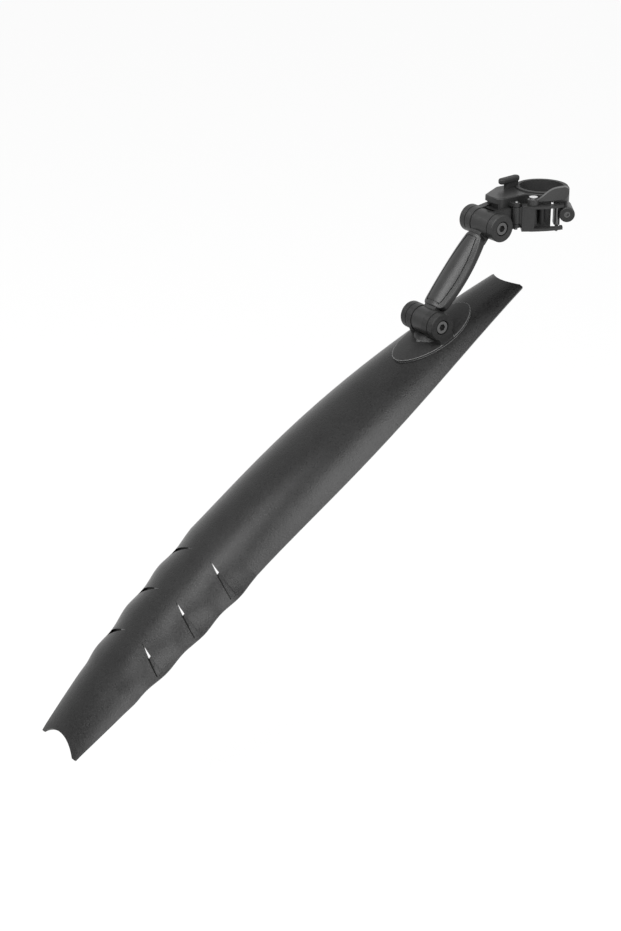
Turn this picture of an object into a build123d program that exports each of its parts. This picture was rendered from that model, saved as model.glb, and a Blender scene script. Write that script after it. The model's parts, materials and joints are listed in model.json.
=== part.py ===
"""Clip-on rear mudguard: a seatpost clamp with a quick-release latch, a hinged arm and a long blade.

The frame is the seatpost's: +Z runs up the post, +X points to the front of the bicycle, +Y to its left.
The origin is the middle of the clamp's bore.
"""

import os
from math import cos, degrees, hypot, pi, radians, sin

from build123d import *

os.makedirs("parts", exist_ok=True)

# Driving dimensions, in millimetres and degrees

# Clamp round the seatpost
POST_RADIUS = 17.5
LINER_WALL = 2.0
LINER_GAP = 0.1
LINER_RIM = 1.0
LINER_RIM_WIDTH = 1.8
LINER_LEAD = 0.5
BAND_WALL = 3.0
BAND_HEIGHT = 17.0
SKIRT_DROP = 10.0
SKIRT_BACK = 4.0
MOUTH_WIDTH = 2.0
MOUTH_ACROSS = 6.65
LINER_MOUTH_WIDTH = 4.0
LATCH_TURN = -34.2
TAB_AZIMUTH = 128.7
TAB_TURN = 188.0
TAB_LENGTH = 22.0
TAB_THICKNESS = 4.6
TAB_WIDTH = 6.4
TAB_LIFT = 3.2
TAB_RISER = 15.0
TAB_EDGE = 1.6

# Block that carries the upper hinge
BLOCK_REACH = 52.0
BLOCK_HALF_WIDTH = 11.0
BLOCK_RIGHT = 9.0
BLOCK_CORNER = 5.0
BLOCK_ROOT = 7.0
BLOCK_EDGE = 1.0
SHOULDER_AT = (-28.5, 16.5)
SHOULDER_RADIUS = 5.0
POCKET_TOP = 4.0
POCKET_BOTTOM = -1.0
POCKET_DEPTH = 6.0
WEB_REACH = 42.0
WEB_TOP = 0.5
WEB_BOTTOM = -17.0
WEB_ROOT = 4.0
WEB_WIDTH = 6.0

# The two bolted hinges
UPPER_HINGE_BACK = 56.8
UPPER_HINGE_DROP = 12.0
KNUCKLE_RADIUS = 10.5
KNUCKLE_WIDTH = 13.7
CHEEK_RADIUS = 11.0
CHEEK_WIDTH = 13.35
CHEEK_EDGE = 0.8
CHEEK_GROOVE_AT = 13.6
CHEEK_GROOVE_WIDTH = 0.8
CHEEK_GROOVE_DEPTH = 0.5
FORK_GAP = 0.3
KNUCKLE_ROOM = 0.8
RUNNING_GAP = 0.05
BOLT_RADIUS = 3.0
HEAD_RADIUS = 5.0
HEAD_HEIGHT = 5.0
HEAD_SOCKET = 5.0
SOCKET_DEPTH = 3.0
RECESS_RADIUS = 5.9
RECESS_DEPTH = 6.5
WASHER_RADIUS = 5.6
WASHER_THICKNESS = 1.0
NUT_ACROSS_FLATS = 10.0
NUT_HEIGHT = 5.0
NUT_POCKET_DEPTH = 5.5
NUT_GAP = 0.1
BOLT_END_GAP = 0.2

# Arm
ARM_LENGTH = 91.0
ARM_ANGLE = 51.0
ARM_TOP_HALF_WIDTH = 8.5
ARM_MID_HALF_WIDTH = 14.2
ARM_FOOT_HALF_WIDTH = 11.5
ARM_THICKNESS = 9.0
ARM_BOW = 1.5
ARM_CORNER = 5.0
ARM_EDGE = 2.0
ARM_RIM = 1.2
LEAF_CROWN = 26.0
LEAF_CLEARANCE = 11.6
NECK_THICKNESS = 10.0
NECK_LENGTH = 16.0
GROOVE_INSET = 3.2
GROOVE_WIDTH = 1.4
GROOVE_DEPTH = 0.7

# Blade, measured along its crown from the front end
BLADE_LENGTH = 522.0
BLADE_TURN = 25.6
BLADE_WALL = 2.2
BELLY_STATION = 236.0
FRONT_HALF_WIDTH = 19.5
BELLY_HALF_WIDTH = 49.5
REAR_HALF_WIDTH = 26.5
FRONT_DEPTH = 4.0
BELLY_DEPTH = 16.3
REAR_DEPTH = 4.0
SECTION_POWER = 2.4
TAIL_POWER = 1.6
BODY_SPANS = 5
TAIL_SPANS = 20
FRONT_NOTCH_DEPTH = 5.0
REAR_NOTCH_DEPTH = 9.0
NOTCH_LAND = 3.0

# Gills near the rear end
GILL_COUNT = 3
GILL_PITCH = 40.5
FIRST_RIDGE = 327.0
RIDGE_HEIGHT = 1.2
SLIT_BEHIND_RIDGE = 13.5
SLIT_INNER = 12.0
SLIT_SWEEP = 7.5
SLIT_WIDTH = 6.0
SLIT_RIM = 2.8
TONGUE_INNER = 24.0
TONGUE_GAP = 0.5
TONGUE_WALL = 1.0
TONGUE_AHEAD = 4.0
TONGUE_BEHIND = 2.4
TONGUE_LEAD = 0.3
TONGUE_END_GAP = 0.3

# Base of the lower hinge
BASE_STATION = 82.0
BASE_SLOPE = 25.4
BASE_HINGE_HEIGHT = 12.0
PAD_LENGTH = 78.0
PAD_WIDTH = 43.0
PAD_THICKNESS = 1.8
DOME_HEIGHT = 5.0
DOME_RADIUS = 30.0
BASE_FOOT = 14.0
BASE_SCREW_SPACING = 26.0
BASE_SCREW_RADIUS = 2.0
BASE_SCREW_HEAD_RADIUS = 3.6
BASE_SCREW_HEAD = 2.0
BASE_SCREW_GRIP = 1.5

# Latch, placed by its distance across the clamp and out from the post's axis
LATCH_PIN_AT = (-23.4, 34.0)
LATCH_PIN_RADIUS = 1.5
EYE_RADIUS = 3.0
EAR_RADIUS = 3.0
EAR_THICKNESS = 2.6
EAR_TOP = 4.6
EAR_GAP = 0.5
EYE_HEIGHT = 13.3
PIN_DOME = 1.2
PIN_STAND = 1.8
FRAME_TOP = 2.4
FRAME_HEIGHT = 20.4
FRAME_WALL = 1.8
NECK_WALL = 2.6
PRONG_HEIGHT = 2.2
PRONG_WIDTH = 2.4
FRAME_LEFT = -18.9
FRAME_WALL_END = -9.0
FRAME_OUT = 36.5
FRAME_IN = 26.6
PRONG_BOW = 1.2
STRIKE_PIN_AT = (10.0, 26.5)
STRIKE_PIN_RADIUS = 1.5
STRIKE_PIN_TIP = 2.0
STRIKE_PIN_TAPER = 18.0
STRIKE_PIN_STAND = 0.4
HOOK_GAP = 0.45
HOOK_WIDTH = 2.5
HOOK_DEPTH = 2.9
BRACKET_LIP = 0.6
BRACKET_WIDTH = 4.6
BRACKET_GAP = 0.6
CAM_SEAT_OUT = 25.5
CAM_SEAT_WIDTH = 7.0
BEAD_AT = (-2.0, 23.0)
BEAD_RADIUS = 2.9

# Quick-release lever
LEVER_PIN_AT = (-9.9, 30.5)
LEVER_PIN_RADIUS = 2.0
LEVER_PIN_HEAD_RADIUS = 3.4
LEVER_PIN_HEAD = 2.0
LEVER_PIN_HEAD_TAPER = 20.0
LEVER_PIN_CLENCH_RADIUS = 2.8
LEVER_PIN_CLENCH = 1.0
LEVER_GAP = 0.3
HUB_RADIUS = 4.6
HUB_HEIGHT = 4.2
CAM_RADIUS = 3.6
CAM_OFFSET = 1.0
LEVER_THICKNESS = 4.0
LEVER_MID = (6.0, 28.3)
LEVER_TIP = (20.2, 20.6)
LEVER_RISE = 2.8
LEVER_TIP_HEIGHT = 10.0
LEVER_TIP_RADIUS = 4.4

# Adjuster at the clamp's free end
BOSS_ACROSS = 17.6
BOSS_RADIUS = 6.2
BOSS_LEVEL = -6.0
BOSS_OUT = 31.0
BOSS_EDGE = 1.2
ADJUSTER_RADIUS = 2.5
ADJUSTER_LENGTH = 14.0
ADJUSTER_SOCKET = 2.5
ADJUSTER_SINK = 0.6

# Worked out from the driving dimensions

SEAT_RADIUS = POST_RADIUS + LINER_WALL
BAND_RADIUS = SEAT_RADIUS + BAND_WALL
BAND_TOP = BAND_HEIGHT / 2
BODY_BOTTOM = -BAND_TOP - SKIRT_DROP
FORK_INNER = KNUCKLE_WIDTH / 2 + FORK_GAP
FORK_OUTER = FORK_INNER + CHEEK_WIDTH
ROOM_RADIUS = KNUCKLE_RADIUS + KNUCKLE_ROOM
UPPER_HINGE = Vector(-UPPER_HINGE_BACK, 0, -UPPER_HINGE_DROP)
ARM_DIRECTION = Vector(-cos(radians(ARM_ANGLE)), 0, -sin(radians(ARM_ANGLE)))
ARM_FACE = Vector(-sin(radians(ARM_ANGLE)), 0, cos(radians(ARM_ANGLE)))
LOWER_HINGE = UPPER_HINGE + ARM_DIRECTION * ARM_LENGTH
CROWN_RADIUS = BLADE_LENGTH / radians(BLADE_TURN)


def crown_normal(slope):
    """Upward normal of the blade's crown where it falls to the rear at this slope."""
    return Vector(-sin(radians(slope)), 0, cos(radians(slope)))


CROWN_CENTRE = LOWER_HINGE - crown_normal(BASE_SLOPE) * (BASE_HINGE_HEIGHT + CROWN_RADIUS)


def blade_slope(station):
    """Slope of the crown, in degrees below the horizontal, at a distance from the front end."""
    return BASE_SLOPE + degrees((station - BASE_STATION) / CROWN_RADIUS)


def section_plane(station):
    """Plane across the blade: x to the right side of the bicycle, y up."""
    slope = blade_slope(station)
    origin = CROWN_CENTRE + crown_normal(slope) * CROWN_RADIUS
    rearward = (-cos(radians(slope)), 0, -sin(radians(slope)))
    return Plane(origin=origin, x_dir=(0, -1, 0), z_dir=rearward)


def crown_plane(station):
    """Plane that lies on the crown: x to the front, y to the left, z up."""
    slope = blade_slope(station)
    origin = CROWN_CENTRE + crown_normal(slope) * CROWN_RADIUS
    forward = (cos(radians(slope)), 0, sin(radians(slope)))
    return Plane(origin=origin, x_dir=forward, z_dir=crown_normal(slope))


def fullness(station):
    """Share of the belly's extra width and depth that the blade has at a station."""
    if station < BELLY_STATION:
        return sin(pi / 2 * station / BELLY_STATION)
    tail = (station - BELLY_STATION) / (BLADE_LENGTH - BELLY_STATION)
    return cos(pi / 2 * tail**TAIL_POWER)


def half_width(station):
    """Half of the blade's width at a station."""
    end = FRONT_HALF_WIDTH if station < BELLY_STATION else REAR_HALF_WIDTH
    return end + (BELLY_HALF_WIDTH - end) * fullness(station)


def depth(station):
    """Fall of the blade from its crown to its edge, with the ripple of the gills."""
    end = FRONT_DEPTH if station < BELLY_STATION else REAR_DEPTH
    plain = end + (BELLY_DEPTH - end) * fullness(station)
    phase = (station - FIRST_RIDGE) / GILL_PITCH
    in_gills = -0.25 <= phase <= GILL_COUNT + 0.25
    return plain - RIDGE_HEIGHT * cos(2 * pi * phase) if in_gills else plain


BODY_STATIONS = [FIRST_RIDGE * span / BODY_SPANS for span in range(BODY_SPANS + 1)]
TAIL_STATIONS = [FIRST_RIDGE + GILL_PITCH / 4 * span for span in range(TAIL_SPANS + 1)]
SECTION_SHARES = (-1.0, -0.7, -0.4, 0.0, 0.4, 0.7, 1.0)


def section_points(station, height):
    """Points of the blade's section, moved off its outer skin by a height along the normal."""
    width = half_width(station)
    fall = depth(station)
    points = []
    for share in SECTION_SHARES:
        side = 1 if share >= 0 else -1
        incline = -side * fall * SECTION_POWER * abs(share) ** (SECTION_POWER - 1) / width
        across = share * width - height * incline / hypot(1, incline)
        up = -fall * abs(share) ** SECTION_POWER + height / hypot(1, incline)
        points.append((across, up))
    return points


def skin(stations, low, high):
    """Shell that follows the blade through these stations, between two heights over its outer skin."""
    with BuildPart() as shell:
        for station in stations:
            lower = section_points(station, low)
            upper = section_points(station, high)
            with BuildSketch(section_plane(station)):
                with BuildLine():
                    Spline(*upper)
                    Line(upper[-1], lower[-1])
                    Spline(*reversed(lower))
                    Line(lower[0], upper[0])
                make_face()
        loft()
    return shell.part


def latch_level(top):
    """Plane at a height on the post: x across the clamp, y out from the latch, z down."""
    turn = radians(LATCH_TURN)
    return Plane(origin=(0, 0, top), x_dir=(cos(turn), sin(turn), 0), z_dir=(0, 0, -1))


LATCH_OUT = latch_level(0).y_dir
LATCH_FRONT = Plane(origin=(0, 0, 0), x_dir=latch_level(0).x_dir, z_dir=LATCH_OUT)


def hinge_plane(hinge, left, forward=(1, 0, 0)):
    """Plane across a hinge's axis, this far to the left: z points to the right side of the bicycle."""
    return Plane(origin=(hinge.X, left, hinge.Z), x_dir=forward, z_dir=(0, -1, 0))


def hinge_holes(hinge):
    """Cutter for a fork: bolt hole, head recess on the right and nut pocket on the left."""
    with BuildPart() as cutter:
        with BuildSketch(hinge_plane(hinge, FORK_OUTER)):
            Circle(BOLT_RADIUS + RUNNING_GAP)
        extrude(amount=2 * FORK_OUTER)
        with BuildSketch(hinge_plane(hinge, -FORK_OUTER)):
            Circle(RECESS_RADIUS)
        extrude(amount=-RECESS_DEPTH)
        with BuildSketch(hinge_plane(hinge, FORK_OUTER)):
            RegularPolygon(NUT_ACROSS_FLATS / 2 + NUT_GAP, 6, major_radius=False)
        extrude(amount=NUT_POCKET_DEPTH)
    return cutter.part


def knuckle_room(hinge):
    """Cutter for the arm's knuckle between a fork's cheeks."""
    with BuildPart() as cutter:
        with BuildSketch(hinge_plane(hinge, FORK_INNER)):
            Circle(ROOM_RADIUS)
        extrude(amount=2 * FORK_INNER)
    return cutter.part


def cheek_grooves(hinge, forward=(1, 0, 0)):
    """Cutter for the line groove round each cheek of a fork."""
    with BuildPart() as cutter:
        for left in (CHEEK_GROOVE_AT + CHEEK_GROOVE_WIDTH, -CHEEK_GROOVE_AT):
            with BuildSketch(hinge_plane(hinge, left, forward)):
                Circle(CHEEK_RADIUS + CHEEK_GROOVE_DEPTH)
                Circle(CHEEK_RADIUS - CHEEK_GROOVE_DEPTH, mode=Mode.SUBTRACT)
                with Locations((0, -CHEEK_RADIUS)):
                    Rectangle(3 * CHEEK_RADIUS, CHEEK_RADIUS, mode=Mode.SUBTRACT)
            extrude(amount=CHEEK_GROOVE_WIDTH)
    return cutter.part


def cheek_rims(piece):
    """Outer edges of a fork's two cheeks."""
    return piece.edges().filter_by(lambda edge: abs(abs(edge.center().Y) - FORK_OUTER) < RUNNING_GAP)


def hinge_bolt(hinge):
    """Hex-socket bolt of a hinge, with its head in the right-hand recess."""
    head_seat = -FORK_OUTER + RECESS_DEPTH - WASHER_THICKNESS
    bolt_end = FORK_OUTER - BOLT_END_GAP
    with BuildPart() as bolt:
        with BuildSketch(hinge_plane(hinge, bolt_end)):
            Circle(BOLT_RADIUS)
        extrude(amount=bolt_end - head_seat)
        with BuildSketch(hinge_plane(hinge, head_seat)):
            Circle(HEAD_RADIUS)
        extrude(amount=HEAD_HEIGHT)
        with BuildSketch(hinge_plane(hinge, head_seat - HEAD_HEIGHT)):
            RegularPolygon(HEAD_SOCKET / 2, 6, major_radius=False)
        extrude(amount=-SOCKET_DEPTH, mode=Mode.SUBTRACT)
    return bolt.part


def hinge_washer(hinge):
    """Plain washer under a hinge bolt's head."""
    with BuildPart() as washer:
        with BuildSketch(hinge_plane(hinge, -FORK_OUTER + RECESS_DEPTH)):
            Circle(WASHER_RADIUS)
            Circle(BOLT_RADIUS + RUNNING_GAP, mode=Mode.SUBTRACT)
        extrude(amount=WASHER_THICKNESS)
    return washer.part


def hinge_nut(hinge):
    """Hex nut in a fork's left-hand pocket."""
    with BuildPart() as nut:
        with BuildSketch(hinge_plane(hinge, FORK_OUTER - NUT_POCKET_DEPTH + NUT_HEIGHT)):
            RegularPolygon(NUT_ACROSS_FLATS / 2, 6, major_radius=False)
            Circle(BOLT_RADIUS + RUNNING_GAP, mode=Mode.SUBTRACT)
        extrude(amount=NUT_HEIGHT)
    return nut.part


def save(piece, name):
    """Labels a piece and writes it as its own file."""
    piece.label = name
    export_step(piece, f"parts/{name}.step")


# Blade


def gill_tip(gill):
    """Station of the inner tips of a gill's two slits."""
    return FIRST_RIDGE + gill * GILL_PITCH + SLIT_BEHIND_RIDGE


def slit_outer(gill):
    """Distance from the blade's middle line to the outer end of a slit."""
    return half_width(gill_tip(gill) + SLIT_SWEEP) - SLIT_RIM


def skin_height(station, ahead, reach):
    """Height of the outer skin over a station's crown plane, this far ahead of it and off the middle line."""
    there = station - ahead
    return -(ahead**2) / (2 * CROWN_RADIUS) - depth(there) * (reach / half_width(there)) ** SECTION_POWER


def gill_tongue(gill, side):
    """Tongue that hangs from a slit's rear edge and closes its outer part from below, open to the front."""
    station = gill_tip(gill)
    place = crown_plane(station)
    outer = slit_outer(gill) - TONGUE_END_GAP
    with BuildPart() as tongue:
        for reach in (TONGUE_INNER, (TONGUE_INNER + outer) / 2, outer):
            along = (reach - SLIT_INNER) / (slit_outer(gill) - SLIT_INNER)
            front = TONGUE_AHEAD - SLIT_SWEEP * along
            root = -TONGUE_LEAD - (SLIT_SWEEP + SLIT_WIDTH) * along
            back = root - TONGUE_BEHIND
            front_top = skin_height(station, front, reach) - BLADE_WALL - TONGUE_GAP
            root_skin = skin_height(station, root, reach)
            back_skin = skin_height(station, back, reach)
            origin = place.from_local_coords((0, side * reach, 0))
            with BuildSketch(Plane(origin=origin, x_dir=place.x_dir, z_dir=-place.y_dir)):
                with BuildLine():
                    Polyline(
                        (front, front_top),
                        (root, root_skin - BLADE_WALL - TONGUE_GAP),
                        (root, root_skin - BLADE_WALL / 2),
                        (back, back_skin - BLADE_WALL / 2),
                        (back, back_skin - BLADE_WALL - TONGUE_GAP - TONGUE_WALL),
                        (front, front_top - TONGUE_WALL),
                        close=True,
                    )
                make_face()
        loft(ruled=True)
    return tongue.part


def notch_radius(half_chord, notch_depth):
    """Radius of an arc that cuts this deep between two tips."""
    return (half_chord**2 + notch_depth**2) / (2 * notch_depth)


front_radius = notch_radius(FRONT_HALF_WIDTH - NOTCH_LAND, FRONT_NOTCH_DEPTH)
rear_radius = notch_radius(REAR_HALF_WIDTH - NOTCH_LAND, REAR_NOTCH_DEPTH)
tail_surplus = TAIL_STATIONS[-1] - BLADE_LENGTH + BLADE_WALL

with BuildPart() as mudguard_blade:
    add(skin(BODY_STATIONS, -BLADE_WALL, 0))
    add(skin(TAIL_STATIONS, -BLADE_WALL, 0))
    # Concave ends
    with BuildSketch(crown_plane(0)):
        with Locations((front_radius - FRONT_NOTCH_DEPTH, 0)):
            Circle(front_radius)
    with BuildSketch(crown_plane(BLADE_LENGTH)):
        with Locations((REAR_NOTCH_DEPTH - rear_radius, 0)):
            Circle(rear_radius)
        with Locations((-tail_surplus / 2, 0)):
            Rectangle(tail_surplus, 2 * BELLY_HALF_WIDTH)
    # Gill slits, the same on both sides
    for gill in range(GILL_COUNT):
        for side in (-1, 1):
            with BuildSketch(crown_plane(gill_tip(gill))):
                with BuildLine():
                    Polyline(
                        (0, side * SLIT_INNER),
                        (-SLIT_SWEEP, side * slit_outer(gill)),
                        (-SLIT_SWEEP - SLIT_WIDTH, side * slit_outer(gill)),
                        close=True,
                    )
                make_face()
    # Screw holes for the base
    with BuildSketch(crown_plane(BASE_STATION)):
        with GridLocations(BASE_SCREW_SPACING, 0, 2, 1):
            Circle(BASE_SCREW_RADIUS + RUNNING_GAP)
    extrude(amount=2 * BELLY_DEPTH, both=True, mode=Mode.SUBTRACT)
    for gill in range(GILL_COUNT):
        add(gill_tongue(gill, -1))
        add(gill_tongue(gill, 1))
save(mudguard_blade.part, "mudguard_blade")

# Base of the lower hinge, which follows the blade's skin

base_plane = crown_plane(BASE_STATION)

with BuildPart() as pad:
    add(skin(BODY_STATIONS, -BLADE_WALL, PAD_THICKNESS))
    with BuildSketch(base_plane):
        Ellipse(PAD_LENGTH / 2, PAD_WIDTH / 2)
    extrude(amount=BELLY_DEPTH, both=True, mode=Mode.INTERSECT)

with BuildPart() as dome:
    with BuildSketch(base_plane.offset(-1.5 * BLADE_WALL)):
        Circle(DOME_RADIUS)
    extrude(amount=BELLY_DEPTH)
    with Locations(base_plane.offset(DOME_HEIGHT - DOME_RADIUS)):
        Sphere(DOME_RADIUS, mode=Mode.INTERSECT)

with BuildPart() as mount_base:
    for left in (-FORK_INNER, FORK_OUTER):
        with BuildSketch(hinge_plane(LOWER_HINGE, left, base_plane.x_dir)):
            Circle(CHEEK_RADIUS)
            with Locations((0, -BASE_HINGE_HEIGHT / 2 - 0.75 * BLADE_WALL)):
                Rectangle(BASE_FOOT, BASE_HINGE_HEIGHT + 1.5 * BLADE_WALL)
        extrude(amount=CHEEK_WIDTH)
    fillet(cheek_rims(mount_base), CHEEK_EDGE)
    add(pad.part)
    add(dome.part)
    add(skin(BODY_STATIONS, -2 * BLADE_WALL, 0), mode=Mode.SUBTRACT)
    add(cheek_grooves(LOWER_HINGE, base_plane.x_dir), mode=Mode.SUBTRACT)
    add(knuckle_room(LOWER_HINGE), mode=Mode.SUBTRACT)
    add(hinge_holes(LOWER_HINGE), mode=Mode.SUBTRACT)
    with BuildSketch(base_plane):
        with GridLocations(BASE_SCREW_SPACING, 0, 2, 1):
            Circle(BASE_SCREW_RADIUS + RUNNING_GAP)
    extrude(amount=BASE_SCREW_GRIP, both=True, mode=Mode.SUBTRACT)
save(mount_base.part, "mount_base")

with BuildPart() as base_screws:
    with BuildSketch(base_plane.offset(-2 * BLADE_WALL)):
        with GridLocations(BASE_SCREW_SPACING, 0, 2, 1):
            Circle(BASE_SCREW_HEAD_RADIUS)
    extrude(amount=BASE_SCREW_HEAD, both=True)
    add(skin(BODY_STATIONS, -BLADE_WALL, 0), mode=Mode.SUBTRACT)
    with BuildSketch(base_plane.offset(-2 * BLADE_WALL)):
        with GridLocations(BASE_SCREW_SPACING, 0, 2, 1):
            Circle(BASE_SCREW_RADIUS)
    extrude(amount=2 * BLADE_WALL + BASE_SCREW_GRIP / 2)
for end, base_screw in zip(("rear", "front"), base_screws.solids().sort_by(Axis.X)):
    save(base_screw, f"{end}_base_screw")

# Hinge fasteners

for hinge_name, hinge in (("upper", UPPER_HINGE), ("lower", LOWER_HINGE)):
    save(hinge_bolt(hinge), f"{hinge_name}_hinge_bolt")
    save(hinge_washer(hinge), f"{hinge_name}_hinge_washer")
    save(hinge_nut(hinge), f"{hinge_name}_hinge_nut")

# Arm

arm_plane = Plane(origin=UPPER_HINGE, x_dir=ARM_DIRECTION, z_dir=ARM_FACE)
leaf_end = ARM_LENGTH - LEAF_CLEARANCE
leaf_top = ARM_BOW + ARM_THICKNESS / 2
crown_axis = UPPER_HINGE + ARM_FACE * (leaf_top - LEAF_CROWN)
crown_section = Plane(origin=crown_axis, x_dir=(0, -1, 0), z_dir=ARM_DIRECTION)


def panel_groove(outline):
    """Cutter for the groove inside the leaf's outline, evenly deep in its crowned face."""
    with BuildPart() as cutter:
        with BuildSketch(arm_plane.offset(leaf_top)):
            offset(outline, amount=-GROOVE_INSET)
            offset(outline, amount=-GROOVE_INSET - GROOVE_WIDTH, mode=Mode.SUBTRACT)
        extrude(amount=-ARM_THICKNESS / 2)
        with BuildSketch(crown_section):
            Circle(LEAF_CROWN - GROOVE_DEPTH)
        extrude(amount=ARM_LENGTH, mode=Mode.SUBTRACT)
    return cutter.part


with BuildPart() as arm:
    with BuildSketch(arm_plane.offset(ARM_BOW - ARM_THICKNESS / 2)) as leaf:
        with BuildLine():
            edge = ThreePointArc(
                (LEAF_CLEARANCE, ARM_TOP_HALF_WIDTH),
                (ARM_LENGTH / 2, ARM_MID_HALF_WIDTH),
                (leaf_end, ARM_FOOT_HALF_WIDTH),
            )
            Line(edge @ 1, (leaf_end, 0))
            Line(edge @ 0, (LEAF_CLEARANCE, 0))
            mirror(about=Plane.XZ)
        make_face()
        fillet([corner for corner in leaf.vertices() if abs(corner.Y) > ARM_TOP_HALF_WIDTH / 2], ARM_CORNER)
    extrude(amount=ARM_THICKNESS)
    fillet(arm.edges().group_by(Axis(arm_plane.origin, ARM_FACE))[0], ARM_EDGE)
    # Crowned face
    with BuildSketch(crown_section):
        Circle(LEAF_CROWN)
    extrude(amount=ARM_LENGTH, mode=Mode.INTERSECT)
    fillet(arm.faces().sort_by(Axis(arm_plane.origin, ARM_FACE))[-1].edges(), ARM_RIM)
    # Groove round the raised panel
    add(panel_groove(leaf.sketch_local.face()), mode=Mode.SUBTRACT)
    # Necks and knuckles
    with BuildSketch(arm_plane.offset(-NECK_THICKNESS / 2)):
        with Locations((NECK_LENGTH / 2, 0), (ARM_LENGTH - NECK_LENGTH / 2, 0)):
            Rectangle(NECK_LENGTH, KNUCKLE_WIDTH)
    extrude(amount=NECK_THICKNESS)
    for hinge in (UPPER_HINGE, LOWER_HINGE):
        with BuildSketch(hinge_plane(hinge, KNUCKLE_WIDTH / 2)):
            Circle(KNUCKLE_RADIUS)
        extrude(amount=KNUCKLE_WIDTH)
    for hinge in (UPPER_HINGE, LOWER_HINGE):
        with BuildSketch(hinge_plane(hinge, KNUCKLE_WIDTH / 2)):
            Circle(BOLT_RADIUS + RUNNING_GAP)
        extrude(amount=KNUCKLE_WIDTH, mode=Mode.SUBTRACT)
save(arm.part, "arm")

# Clamp body

frame_bottom = FRAME_TOP - FRAME_HEIGHT
prong_levels = (FRAME_TOP, frame_bottom + PRONG_HEIGHT)
bracket_top = FRAME_TOP - PRONG_HEIGHT - BRACKET_GAP
bracket_height = FRAME_HEIGHT - 2 * PRONG_HEIGHT - 2 * BRACKET_GAP
mouth_edge = MOUTH_ACROSS - MOUTH_WIDTH / 2
block_middle = (-BLOCK_REACH / 2, (BLOCK_HALF_WIDTH - BLOCK_RIGHT) / 2)
block_corner = (-((BAND_RADIUS**2 - BLOCK_RIGHT**2) ** 0.5), -BLOCK_RIGHT, 0)
ear_pitch = EYE_HEIGHT + 2 * EAR_GAP + EAR_THICKNESS
latch_pin_place = latch_level(0).from_local_coords(LATCH_PIN_AT)
adjuster_plane = Plane(
    origin=latch_level(BOSS_LEVEL).from_local_coords((BOSS_ACROSS, BOSS_OUT)),
    x_dir=LATCH_FRONT.x_dir,
    z_dir=LATCH_OUT,
)

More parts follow.
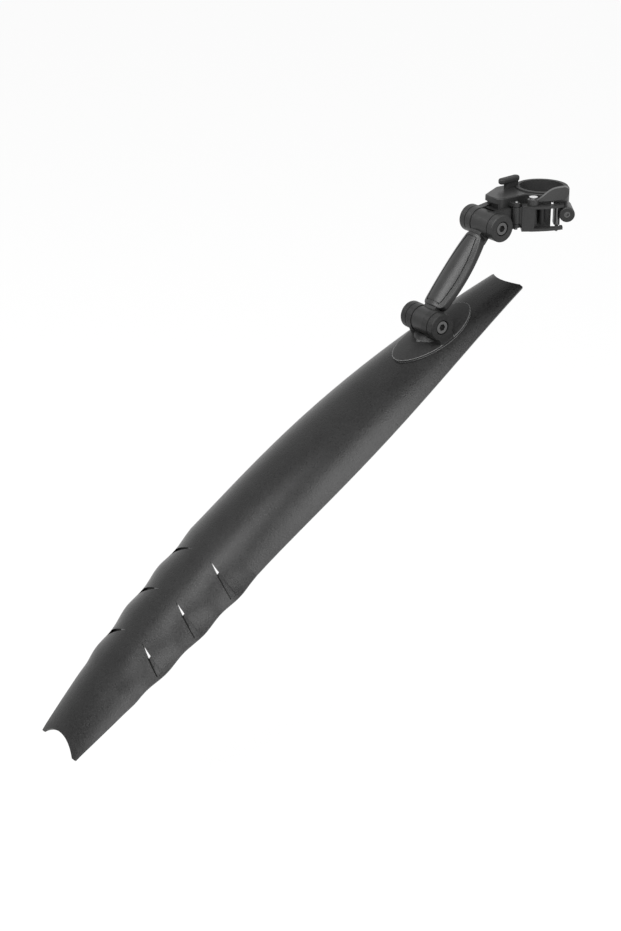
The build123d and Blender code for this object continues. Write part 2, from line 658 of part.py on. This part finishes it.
with BuildPart() as clamp_body:
    # Band round the post, run out to the rear as a block
    with BuildSketch(Plane.XY.offset(-BAND_TOP)) as body_plan:
        Circle(BAND_RADIUS)
        with Locations(block_middle):
            RectangleRounded(BLOCK_REACH, BLOCK_HALF_WIDTH + BLOCK_RIGHT, BLOCK_CORNER)
        with Locations(SHOULDER_AT):
            Circle(SHOULDER_RADIUS)
        make_hull()
        Rectangle(2 * BLOCK_REACH, BAND_RADIUS, align=(Align.CENTER, Align.MAX), mode=Mode.SUBTRACT)
        Circle(BAND_RADIUS)
        with Locations(block_middle):
            RectangleRounded(BLOCK_REACH, BLOCK_HALF_WIDTH + BLOCK_RIGHT, BLOCK_CORNER)
        fillet(body_plan.vertices().sort_by_distance(block_corner)[0], BLOCK_ROOT)
    extrude(amount=BAND_HEIGHT)
    fillet(clamp_body.edges().group_by(Axis.Z)[-1], BLOCK_EDGE)
    # Skirt under the band on the latch's side, and the lower part of the block
    with BuildSketch(latch_level(-BAND_TOP)):
        Circle(BAND_RADIUS)
        with Locations((mouth_edge - BAND_RADIUS, BAND_RADIUS - SKIRT_BACK)):
            Rectangle(2 * BAND_RADIUS, 2 * BAND_RADIUS, mode=Mode.INTERSECT)
    extrude(amount=SKIRT_DROP)
    with BuildSketch(Plane.XY.offset(BODY_BOTTOM)):
        with Locations(block_middle):
            RectangleRounded(BLOCK_REACH, BLOCK_HALF_WIDTH + BLOCK_RIGHT, BLOCK_CORNER)
    extrude(amount=SKIRT_DROP)
    # Pocket across the block's rear end
    with BuildSketch(Plane.XZ.offset(-BAND_RADIUS)):
        with Locations((-BLOCK_REACH, (POCKET_TOP + POCKET_BOTTOM) / 2)):
            Rectangle(2 * POCKET_DEPTH, POCKET_TOP - POCKET_BOTTOM)
    extrude(amount=BAND_RADIUS + FORK_INNER, mode=Mode.SUBTRACT)
    # Fork cheeks, on webs that are set back from their outer faces
    for left in (-FORK_INNER, FORK_OUTER):
        with BuildSketch(hinge_plane(UPPER_HINGE, left)):
            Circle(CHEEK_RADIUS)
        extrude(amount=CHEEK_WIDTH)
    fillet(cheek_rims(clamp_body), CHEEK_EDGE)
    for left in (-FORK_INNER, FORK_INNER + WEB_WIDTH):
        with BuildSketch(Plane.XZ.offset(-left)):
            with Locations((UPPER_HINGE.X, UPPER_HINGE.Z)):
                Circle(CHEEK_RADIUS - CHEEK_GROOVE_DEPTH)
            with Locations((-WEB_REACH - WEB_ROOT / 2, (WEB_TOP + WEB_BOTTOM) / 2)):
                Rectangle(WEB_ROOT, WEB_TOP - WEB_BOTTOM)
            make_hull()
        extrude(amount=WEB_WIDTH)
    add(cheek_grooves(UPPER_HINGE), mode=Mode.SUBTRACT)
    # Ears of the latch pin
    for ear_top in (EAR_TOP, EAR_TOP - ear_pitch):
        with BuildSketch(Plane.XY.offset(ear_top - EAR_THICKNESS)):
            with Locations((latch_pin_place.X, latch_pin_place.Y)):
                Circle(EAR_RADIUS)
            with Locations((latch_pin_place.X, -BLOCK_RIGHT)):
                Rectangle(2 * EAR_RADIUS, 2 * EAR_RADIUS)
            make_hull()
        extrude(amount=EAR_THICKNESS)
    # Cam seat and bead on the band, and the bracket of the strike pin
    with BuildSketch(latch_level(bracket_top)):
        with Locations((LEVER_PIN_AT[0], CAM_SEAT_OUT)):
            Rectangle(CAM_SEAT_WIDTH, SEAT_RADIUS / 2, align=(Align.CENTER, Align.MAX))
        with Locations(BEAD_AT):
            Circle(BEAD_RADIUS)
    extrude(amount=bracket_height)
    with BuildSketch(latch_level(bracket_top)):
        with Locations((STRIKE_PIN_AT[0], STRIKE_PIN_AT[1] + BRACKET_LIP)):
            Rectangle(BRACKET_WIDTH, SEAT_RADIUS / 2, align=(Align.CENTER, Align.MAX))
    extrude(amount=bracket_height)
    # Adjuster boss
    with BuildSketch(adjuster_plane):
        Circle(BOSS_RADIUS)
    extrude(amount=-BOSS_OUT + SEAT_RADIUS / 2)
    round_edges = clamp_body.edges().filter_by(GeomType.CIRCLE)
    boss_edges = round_edges.filter_by(lambda edge: abs(edge.radius - BOSS_RADIUS) < RUNNING_GAP)
    fillet(boss_edges.sort_by(Axis((0, 0, 0), LATCH_OUT))[-1], BOSS_EDGE)
    # Bore, mouth, and the holes for the hinge and the pins
    with BuildSketch(latch_level(BAND_TOP)):
        Circle(SEAT_RADIUS)
        with Locations((MOUTH_ACROSS, 0)):
            Rectangle(MOUTH_WIDTH, 2 * BAND_RADIUS, align=(Align.CENTER, Align.MIN))
        with Locations(LATCH_PIN_AT):
            Circle(LATCH_PIN_RADIUS + RUNNING_GAP)
        with Locations(STRIKE_PIN_AT):
            Circle(STRIKE_PIN_RADIUS + RUNNING_GAP)
    extrude(amount=BAND_HEIGHT + SKIRT_DROP, mode=Mode.SUBTRACT)
    with BuildSketch(adjuster_plane):
        Circle(ADJUSTER_RADIUS + RUNNING_GAP)
    extrude(amount=-ADJUSTER_LENGTH, mode=Mode.SUBTRACT)
    add(knuckle_room(UPPER_HINGE), mode=Mode.SUBTRACT)
    add(hinge_holes(UPPER_HINGE), mode=Mode.SUBTRACT)
save(clamp_body.part, "clamp_body")

# Rubber liner with its pull tab

tab_bottom = BAND_TOP + LINER_RIM + TAB_LIFT
tab_top = tab_bottom + TAB_THICKNESS
tab_root = Vector(SEAT_RADIUS, 0, 0).rotate(Axis.Z, TAB_AZIMUTH)
tab_place = Location((tab_root.X, tab_root.Y, 0), (0, 0, TAB_TURN))

with BuildPart() as pull_tab:
    with BuildSketch(Plane.XY.offset(tab_bottom)):
        with Locations(tab_place):
            SlotOverall(TAB_LENGTH, TAB_WIDTH, align=(Align.MIN, Align.CENTER))
    extrude(amount=TAB_THICKNESS)
    fillet(pull_tab.edges().group_by(Axis.Z)[-1], TAB_EDGE)
    fillet(pull_tab.edges().group_by(Axis.Z)[0], TAB_EDGE)
    with BuildSketch(Plane.XY.offset(BAND_TOP)):
        with Locations(tab_place * Location((TAB_EDGE / 2, 0, 0))):
            SlotOverall(TAB_RISER, TAB_WIDTH - TAB_EDGE, align=(Align.MIN, Align.CENTER))
    extrude(amount=tab_bottom + TAB_THICKNESS / 2 - BAND_TOP)

with BuildPart() as clamp_liner:
    with BuildSketch(latch_level(BAND_TOP)):
        Circle(SEAT_RADIUS - LINER_GAP)
    extrude(amount=BAND_HEIGHT)
    with BuildSketch(latch_level(BAND_TOP + LINER_RIM)):
        Circle(SEAT_RADIUS + LINER_RIM_WIDTH)
    extrude(amount=LINER_RIM)
    add(pull_tab.part)
    with BuildSketch(latch_level(tab_top)):
        Circle(POST_RADIUS)
        with Locations((MOUTH_ACROSS, 0)):
            Rectangle(LINER_MOUTH_WIDTH, 2 * BAND_RADIUS, align=(Align.CENTER, Align.MIN))
    extrude(amount=tab_top + BAND_TOP, mode=Mode.SUBTRACT)
    with BuildSketch(Plane.XY.offset(BAND_TOP)):
        Circle(POST_RADIUS + LINER_LEAD)
    extrude(amount=tab_top - BAND_TOP, mode=Mode.SUBTRACT)
save(clamp_liner.part, "clamp_liner")

# Latch pin and strike pin

with BuildPart() as latch_pin:
    with BuildSketch(latch_level(EAR_TOP + PIN_STAND)):
        with Locations(LATCH_PIN_AT):
            Circle(LATCH_PIN_RADIUS)
    extrude(amount=ear_pitch + EAR_THICKNESS + 2 * PIN_STAND)
    fillet(latch_pin.edges().group_by(Axis.Z)[-1], PIN_DOME)
save(latch_pin.part, "latch_pin")

strike_top = FRAME_TOP + STRIKE_PIN_STAND
strike_bottom = frame_bottom - STRIKE_PIN_STAND

with BuildPart() as strike_pin:
    with BuildSketch(latch_level(strike_top)):
        with Locations(STRIKE_PIN_AT):
            Circle(STRIKE_PIN_RADIUS)
    extrude(amount=strike_top - strike_bottom)
    with BuildSketch(latch_level(strike_bottom)):
        with Locations(STRIKE_PIN_AT):
            Circle(STRIKE_PIN_RADIUS)
    extrude(amount=STRIKE_PIN_TIP, taper=STRIKE_PIN_TAPER)
save(strike_pin.part, "strike_pin")

# Latch frame: a channel with two hooked prongs

hook_left = STRIKE_PIN_AT[0] + STRIKE_PIN_RADIUS + HOOK_GAP
prong_in = STRIKE_PIN_AT[1] + STRIKE_PIN_RADIUS + HOOK_GAP
hook_right = hook_left + HOOK_WIDTH
prong_back = (
    (hook_right + FRAME_WALL_END) / 2,
    (prong_in + PRONG_WIDTH + FRAME_OUT) / 2 + PRONG_BOW,
)

with BuildPart() as latch_frame:
    for level in prong_levels:
        with BuildSketch(latch_level(level)):
            with BuildLine():
                flange = Polyline(
                    (FRAME_WALL_END, FRAME_OUT),
                    (FRAME_LEFT, FRAME_OUT),
                    (FRAME_LEFT, FRAME_IN),
                    (FRAME_WALL_END, FRAME_IN),
                    (FRAME_WALL_END + PRONG_WIDTH, prong_in),
                    (hook_left, prong_in),
                    (hook_left, prong_in - HOOK_DEPTH),
                    (hook_right, prong_in - HOOK_DEPTH),
                    (hook_right, prong_in + PRONG_WIDTH),
                )
                ThreePointArc(flange @ 1, prong_back, flange @ 0)
            make_face()
        extrude(amount=PRONG_HEIGHT)
    with BuildSketch(latch_level(FRAME_TOP)):
        with Locations((FRAME_LEFT, FRAME_OUT)):
            Rectangle(FRAME_WALL_END - FRAME_LEFT, FRAME_WALL, align=(Align.MIN, Align.MAX))
    extrude(amount=FRAME_HEIGHT)
    with BuildSketch(latch_level(EAR_TOP - EAR_THICKNESS - EAR_GAP)):
        with Locations(LATCH_PIN_AT):
            Circle(EYE_RADIUS)
            Rectangle(FRAME_LEFT + FRAME_WALL - LATCH_PIN_AT[0], NECK_WALL, align=(Align.MIN, Align.CENTER))
    extrude(amount=EYE_HEIGHT)
    with BuildSketch(latch_level(FRAME_TOP)):
        with Locations(LATCH_PIN_AT):
            Circle(LATCH_PIN_RADIUS + RUNNING_GAP)
        with Locations(LEVER_PIN_AT):
            Circle(LEVER_PIN_RADIUS + RUNNING_GAP)
    extrude(amount=FRAME_HEIGHT, mode=Mode.SUBTRACT)
save(latch_frame.part, "latch_frame")

# Quick-release lever, its pin and its cam

hub_bottom = FRAME_TOP + LEVER_GAP
hub_top = hub_bottom + HUB_HEIGHT
lever_bottom = hub_bottom + LEVER_RISE
lever_top = lever_bottom + LEVER_TIP_HEIGHT
heel = LEVER_PIN_AT[0] - HUB_RADIUS
head_edge = LEVER_PIN_AT[0] + LEVER_PIN_HEAD_RADIUS + LEVER_GAP
tip = LEVER_TIP[0] - LEVER_THICKNESS / 4
toe = (tip - 2 * LEVER_TIP_RADIUS, lever_top)

with BuildPart() as quick_release_lever:
    with BuildSketch(latch_level(lever_top)):
        with BuildLine():
            ThreePointArc(LEVER_PIN_AT, LEVER_MID, LEVER_TIP)
        trace(line_width=LEVER_THICKNESS)
    extrude(amount=LEVER_TIP_HEIGHT)
    with BuildSketch(LATCH_FRONT) as paddle:
        with BuildLine():
            crest = Spline((head_edge, hub_top), toe, tangents=((2, 1), (1, 0)))
            Polyline(
                crest @ 1,
                (tip, lever_top),
                (tip, lever_bottom),
                (heel, lever_bottom),
                (heel, hub_top),
                crest @ 0,
            )
        make_face()
        fillet(paddle.vertices().group_by(Axis.X)[-1], LEVER_TIP_RADIUS)
    extrude(amount=2 * LEVER_PIN_AT[1], mode=Mode.INTERSECT)
    with BuildSketch(latch_level(hub_top)):
        with Locations(LEVER_PIN_AT):
            Circle(HUB_RADIUS)
    extrude(amount=HUB_HEIGHT)
    with BuildSketch(latch_level(hub_top)):
        with Locations(LEVER_PIN_AT):
            Circle(LEVER_PIN_RADIUS + RUNNING_GAP)
    extrude(amount=HUB_HEIGHT, mode=Mode.SUBTRACT)
save(quick_release_lever.part, "quick_release_lever")

pin_bottom = frame_bottom - LEVER_GAP

with BuildPart() as lever_pin:
    with BuildSketch(latch_level(hub_top)):
        with Locations(LEVER_PIN_AT):
            Circle(LEVER_PIN_RADIUS)
    extrude(amount=hub_top - pin_bottom)
    with BuildSketch(latch_level(hub_top + LEVER_PIN_HEAD)):
        with Locations(LEVER_PIN_AT):
            Circle(LEVER_PIN_HEAD_RADIUS)
    extrude(amount=LEVER_PIN_HEAD, taper=LEVER_PIN_HEAD_TAPER)
    with BuildSketch(latch_level(pin_bottom)):
        with Locations(LEVER_PIN_AT):
            Circle(LEVER_PIN_CLENCH_RADIUS)
    extrude(amount=LEVER_PIN_CLENCH)
save(lever_pin.part, "lever_pin")

cam_top = FRAME_TOP - PRONG_HEIGHT - LEVER_GAP

with BuildPart() as lever_cam:
    with BuildSketch(latch_level(cam_top)):
        with Locations((LEVER_PIN_AT[0], LEVER_PIN_AT[1] - CAM_OFFSET)):
            Circle(CAM_RADIUS)
        with Locations(LEVER_PIN_AT):
            Circle(LEVER_PIN_RADIUS + RUNNING_GAP, mode=Mode.SUBTRACT)
    extrude(amount=FRAME_HEIGHT - 2 * PRONG_HEIGHT - 2 * LEVER_GAP)
save(lever_cam.part, "lever_cam")

# Adjuster screw

with BuildPart() as adjuster_screw:
    with BuildSketch(adjuster_plane.offset(-ADJUSTER_SINK)):
        Circle(ADJUSTER_RADIUS)
    extrude(amount=-ADJUSTER_LENGTH + ADJUSTER_SINK)
    with BuildSketch(adjuster_plane.offset(-ADJUSTER_SINK)):
        RegularPolygon(ADJUSTER_SOCKET / 2, 6, major_radius=False)
    extrude(amount=-ADJUSTER_SOCKET, mode=Mode.SUBTRACT)
save(adjuster_screw.part, "adjuster_screw")
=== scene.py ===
"""Looks of the clip-on rear mudguard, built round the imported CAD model."""

import json
from math import radians

import bpy
from mathutils import Euler, Matrix, Vector


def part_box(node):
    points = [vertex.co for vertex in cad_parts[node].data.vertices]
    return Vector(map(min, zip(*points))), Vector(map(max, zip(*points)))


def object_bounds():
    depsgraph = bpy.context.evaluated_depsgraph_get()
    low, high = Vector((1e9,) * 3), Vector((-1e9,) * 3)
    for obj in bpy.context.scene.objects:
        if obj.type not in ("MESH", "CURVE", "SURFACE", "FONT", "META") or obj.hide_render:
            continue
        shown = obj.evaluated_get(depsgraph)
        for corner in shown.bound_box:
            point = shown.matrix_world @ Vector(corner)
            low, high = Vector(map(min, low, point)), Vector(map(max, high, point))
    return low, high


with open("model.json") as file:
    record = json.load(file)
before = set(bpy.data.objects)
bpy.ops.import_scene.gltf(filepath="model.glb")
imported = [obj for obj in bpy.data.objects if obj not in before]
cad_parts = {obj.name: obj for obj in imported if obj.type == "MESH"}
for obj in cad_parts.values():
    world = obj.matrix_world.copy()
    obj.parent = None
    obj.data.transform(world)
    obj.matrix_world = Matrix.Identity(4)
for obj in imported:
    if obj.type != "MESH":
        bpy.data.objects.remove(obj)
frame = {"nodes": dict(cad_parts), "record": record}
cad_low, cad_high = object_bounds()

# Lengths are in metres and angles in degrees, unless a line says otherwise.

# Camera, fitted to the photograph; lens and sensor in millimetres
CAMERA_PLACE = (-0.9933, -1.1311, 0.4238)
CAMERA_PITCH = -23.86
CAMERA_HEADING = -34.142
CAMERA_ROLL = -0.18
CAMERA_LENS = 73.49
SENSOR_WIDTH = 36.0
CLIP_END = 100.0

# Floor and backdrop; the glow is the floor's share of plain white where it is seen
# directly, and the rest of it shows the shadow
WHITE = (1.0, 1.0, 1.0, 1.0)
FLOOR_DROP = 0.10
FLOOR_SIZE = 12.0
FLOOR_COLOUR = (0.86, 0.86, 0.86, 1.0)
FLOOR_ROUGHNESS = 0.9
FLOOR_GLOW = 0.94
AMBIENT_STRENGTH = 0.3

# Lamps: name, place, diameter, power in watts; all point at the middle of the part
LAMPS = (
    ("key", (-0.70, -0.6, 1.55), 1.3, 42.0),
    ("back", (-1.35, 0.75, 1.25), 0.9, 20.0),
    ("fill", (0.1, -1.9, 0.7), 2.8, 44.0),
    ("side", (-1.60, -0.28, 0.66), 0.8, 17.0),
)

# Plastics and rubber: slot, shade, roughness, grain in cycles per metre, depth of the
# grain, specular level, contrast of the flecks
PLASTICS = (
    ("blade_plastic", 0.007, 0.31, 800.0, 0.0003, 0.16, 0.3),
    ("base_plastic", 0.010, 0.38, 800.0, 0.0003, 0.17, 0.3),
    ("arm_plastic", 0.011, 0.34, 2600.0, 0.00001, 0.25, 0.1),
    ("clamp_plastic", 0.013, 0.38, 1200.0, 0.00012, 0.22, 0.1),
    ("frame_plastic", 0.016, 0.36, 1200.0, 0.00012, 0.22, 0.1),
    ("lever_plastic", 0.019, 0.32, 2600.0, 0.00003, 0.3, 0.1),
    ("cam_plastic", 0.014, 0.32, 2600.0, 0.00003, 0.25, 0.1),
    ("liner_rubber", 0.013, 0.55, 1900.0, 0.00006, 0.2, 0.1),
)
GRAIN_DETAIL = 3.0
GRAIN_STRENGTH = 0.5
GRAIN_GLOSS = 0.06
CLOUD_SCALE = 38.0
CLOUD_DETAIL = 2.0
CLOUD_TONES = (0.85, 1.15)

# Steels: slot, shade, roughness, turning marks in cycles per metre
STEELS = (
    ("bright_steel", 0.72, 0.22, 900.0),
    ("dark_steel", 0.12, 0.20, 900.0),
)
MARK_DETAIL = 5.0
MARK_STRETCH = (1.0, 1.0, 9.0)
MARK_STRENGTH = 0.15
MARK_RELIEF = 0.00003
MARK_TONES = (0.8, 1.1)
MARK_GLOSS = (-0.06, 0.08)

# Noise: its roughness, and the parts of its range that colours and numbers spread over
NOISE_ROUGHNESS = 0.55
NO_STRETCH = (1.0, 1.0, 1.0)
COLOUR_SPAN = (0.35, 0.65)
NUMBER_SPAN = (0.3, 0.7)

# Painted highlight along the rim of the oval pad: its width and shade, the cosines of an
# edge's turn where the painted highlight starts and is full, and the radius round the hinge
# where the cheeks keep their grain
RIM_WIDTH = 0.001
RIM_HIGHLIGHT_SHADE = 0.16
RIM_SAMPLES = 6
RIM_TURN = (0.99, 0.85)
CHEEK_CLEAR = 0.0145
ACROSS_HINGE = (1.0, 0.0, 1.0)


def new_material(name):
    """New material, its node tree and its shader."""
    material = bpy.data.materials.new(name)
    material.use_nodes = True
    return material, material.node_tree, material.node_tree.nodes["Principled BSDF"]


def combine(tree, kind, operation, *values):
    """Math node of a kind, with each of its inputs linked to a socket or set."""
    node = tree.nodes.new(kind)
    node.operation = operation
    for socket, value in zip(node.inputs, values):
        if isinstance(value, bpy.types.NodeSocket):
            tree.links.new(value, socket)
        else:
            socket.default_value = value
    return node


def number_math(tree, operation, *values):
    """Number that a math node gives."""
    return combine(tree, "ShaderNodeMath", operation, *values).outputs["Value"]


def vector_math(tree, operation, *values):
    """Outputs of a vector math node."""
    return combine(tree, "ShaderNodeVectorMath", operation, *values).outputs


def noise(tree, scale, detail, stretch=NO_STRETCH):
    """Noise over the part's own coordinates, in cycles per metre."""
    place = tree.nodes.new("ShaderNodeTexCoord")
    mapping = tree.nodes.new("ShaderNodeMapping")
    mapping.inputs["Scale"].default_value = stretch
    texture = tree.nodes.new("ShaderNodeTexNoise")
    texture.inputs["Scale"].default_value = scale
    texture.inputs["Detail"].default_value = detail
    texture.inputs["Roughness"].default_value = NOISE_ROUGHNESS
    tree.links.new(place.outputs["Object"], mapping.inputs["Vector"])
    tree.links.new(mapping.outputs["Vector"], texture.inputs["Vector"])
    return texture.outputs["Fac"]


def ramp(tree, factor, low, high):
    """Grey between two shades, by a factor."""
    node = tree.nodes.new("ShaderNodeValToRGB")
    for element, position, shade in zip(node.color_ramp.elements, COLOUR_SPAN, (low, high)):
        element.position = position
        element.color = grey(shade)
    tree.links.new(factor, node.inputs["Fac"])
    return node.outputs["Color"]


def spread(tree, factor, span, low=0.0, high=1.0):
    """Number between two ends, as a factor goes over a span."""
    node = tree.nodes.new("ShaderNodeMapRange")
    node.inputs["From Min"].default_value, node.inputs["From Max"].default_value = span
    node.inputs["To Min"].default_value = low
    node.inputs["To Max"].default_value = high
    tree.links.new(factor, node.inputs["Value"])
    return node.outputs["Result"]


def bump(tree, shader, height, strength, distance):
    """Surface relief from a height."""
    node = tree.nodes.new("ShaderNodeBump")
    node.inputs["Strength"].default_value = strength
    node.inputs["Distance"].default_value = distance
    tree.links.new(height, node.inputs["Height"])
    tree.links.new(node.outputs["Normal"], shader.inputs["Normal"])


def grey(value):
    """Neutral colour."""
    return (value, value, value, 1.0)


def moulded(name, shade, rough, grain, relief, shine, speckle):
    """Moulded plastic: fine spark-eroded grain over slow changes of tone."""
    material, tree, shader = new_material(name)
    fine = noise(tree, grain, GRAIN_DETAIL)
    slow = noise(tree, CLOUD_SCALE, CLOUD_DETAIL)
    tone = ramp(tree, slow, *(shade * share for share in CLOUD_TONES))
    flecks = ramp(tree, fine, 1.0 - speckle, 1.0 + speckle)
    colour = vector_math(tree, "MULTIPLY", tone, flecks)["Vector"]
    gloss = spread(tree, fine, NUMBER_SPAN, rough - GRAIN_GLOSS, rough + GRAIN_GLOSS)
    tree.links.new(colour, shader.inputs["Base Color"])
    tree.links.new(gloss, shader.inputs["Roughness"])
    shader.inputs["Specular IOR Level"].default_value = shine
    bump(tree, shader, fine, GRAIN_STRENGTH, relief)
    return material


def steel(name, shade, rough, grain):
    """Turned steel: fine stretched marks and uneven gloss."""
    material, tree, shader = new_material(name)
    marks = noise(tree, grain, MARK_DETAIL, MARK_STRETCH)
    colour = ramp(tree, marks, *(shade * share for share in MARK_TONES))
    gloss = spread(tree, marks, NUMBER_SPAN, *(rough + change for change in MARK_GLOSS))
    tree.links.new(colour, shader.inputs["Base Color"])
    tree.links.new(gloss, shader.inputs["Roughness"])
    shader.inputs["Metallic"].default_value = 1.0
    bump(tree, shader, marks, MARK_STRENGTH, MARK_RELIEF)
    return material


def painted_rim_highlight(tree, hinge):
    """Mask of the painted rim highlight: 1 along sharp edges away from a hinge's axis, and
    0 on faces and near the hinge.
    """
    rounded = tree.nodes.new("ShaderNodeBevel")
    rounded.samples = RIM_SAMPLES
    rounded.inputs["Radius"].default_value = RIM_WIDTH
    surface = tree.nodes.new("ShaderNodeNewGeometry")
    normals = rounded.outputs["Normal"], surface.outputs["Normal"]
    turn = vector_math(tree, "DOT_PRODUCT", *normals)["Value"]
    edge = spread(tree, turn, RIM_TURN)
    place = tree.nodes.new("ShaderNodeTexCoord").outputs["Object"]
    offset = vector_math(tree, "SUBTRACT", place, hinge)["Vector"]
    across = vector_math(tree, "MULTIPLY", offset, ACROSS_HINGE)["Vector"]
    reach = vector_math(tree, "LENGTH", across)["Value"]
    clear = number_math(tree, "GREATER_THAN", reach, CHEEK_CLEAR)
    return number_math(tree, "MULTIPLY", edge, clear)


def paint_rim_highlight(material, hinge):
    """Painted highlight: paler colour along the sharp edges of the material's rim."""
    tree = material.node_tree
    shader = tree.nodes["Principled BSDF"]
    colour = shader.inputs["Base Color"].links[0].from_socket
    # painted highlight mixed over the base colour along the rim
    highlight_mix = tree.nodes.new("ShaderNodeMix")
    highlight_mix.data_type = "RGBA"
    tree.links.new(painted_rim_highlight(tree, hinge), highlight_mix.inputs["Factor"])
    tree.links.new(colour, highlight_mix.inputs["A"])
    highlight_mix.inputs["B"].default_value = grey(RIM_HIGHLIGHT_SHADE)
    tree.links.new(highlight_mix.outputs["Result"], shader.inputs["Base Color"])


def seen_directly(tree):
    """1 for camera rays, and for mirror and clear rays, so that metal shows the white."""
    path = tree.nodes.new("ShaderNodeLightPath").outputs
    mirror = number_math(tree, "MAXIMUM", path["Is Camera Ray"], path["Is Glossy Ray"])
    return number_math(tree, "MAXIMUM", mirror, path["Is Transmission Ray"])


def mix_shaders(tree, factor, first, second, output):
    """Blend of two shaders by a factor, as the tree's surface."""
    mix = tree.nodes.new("ShaderNodeMixShader")
    for socket, source in zip(mix.inputs, (factor, first, second)):
        tree.links.new(source, socket)
    tree.links.new(mix.outputs["Shader"], tree.nodes[output].inputs["Surface"])


# Materials of the pieces

materials = {row[0]: moulded(*row) for row in PLASTICS}
materials.update({row[0]: steel(*row) for row in STEELS})

hinge_low, hinge_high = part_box("lower_hinge_bolt")
# Painted highlight: paler colour along the pad's sharp rim edges, away from the hinge
# cheeks
paint_rim_highlight(materials["base_plastic"], (hinge_low + hinge_high) / 2)

slot_of = {row["node"]: row["material_slot"] for row in frame["record"]["subparts"]}
for name, node in frame["nodes"].items():
    node.data.materials.clear()
    node.data.materials.append(materials[slot_of[name]])

# Floor

scene = bpy.context.scene
scene.view_settings.view_transform = "Standard"

middle = (cad_low + cad_high) / 2
floor_place = (middle.x, middle.y, cad_low.z - FLOOR_DROP)

bpy.ops.mesh.primitive_plane_add(size=FLOOR_SIZE, location=floor_place)
floor = bpy.context.object
floor.name = "floor"

floor_material, floor_tree, floor_shader = new_material("floor")
floor_shader.inputs["Base Color"].default_value = FLOOR_COLOUR
floor_shader.inputs["Roughness"].default_value = FLOOR_ROUGHNESS
glow = floor_tree.nodes.new("ShaderNodeEmission")
glow.inputs["Color"].default_value = WHITE
mix_shaders(
    floor_tree,
    number_math(floor_tree, "MULTIPLY", seen_directly(floor_tree), FLOOR_GLOW),
    floor_shader.outputs["BSDF"],
    glow.outputs["Emission"],
    "Material Output",
)
floor.data.materials.append(floor_material)

# World: soft white light, and plain white behind the part

world = bpy.data.worlds.new("studio")
scene.world = world
world.use_nodes = True
world_tree = world.node_tree
ambient = world_tree.nodes["Background"]
ambient.inputs["Color"].default_value = WHITE
ambient.inputs["Strength"].default_value = AMBIENT_STRENGTH
backdrop = world_tree.nodes.new("ShaderNodeBackground")
backdrop.inputs["Color"].default_value = WHITE
mix_shaders(
    world_tree,
    seen_directly(world_tree),
    ambient.outputs["Background"],
    backdrop.outputs["Background"],
    "World Output",
)

# Lamps and camera

for name, place, size, power in LAMPS:
    data = bpy.data.lights.new(name, "AREA")
    data.shape = "DISK"
    data.size = size
    data.energy = power
    lamp = bpy.data.objects.new(name, data)
    lamp.location = place
    lamp.rotation_euler = (middle - Vector(place)).to_track_quat("-Z", "Y").to_euler()
    scene.collection.objects.link(lamp)

camera_data = bpy.data.cameras.new("camera")
camera_data.sensor_width = SENSOR_WIDTH
camera_data.lens = CAMERA_LENS
camera_data.clip_end = CLIP_END
camera = bpy.data.objects.new("camera", camera_data)
camera.location = CAMERA_PLACE
level = Euler((radians(90 + CAMERA_PITCH), 0.0, radians(CAMERA_HEADING))).to_matrix()
roll = Matrix.Rotation(radians(CAMERA_ROLL), 3, "Z")
camera.rotation_euler = (level @ roll).to_euler()
scene.collection.objects.link(camera)
scene.camera = camera
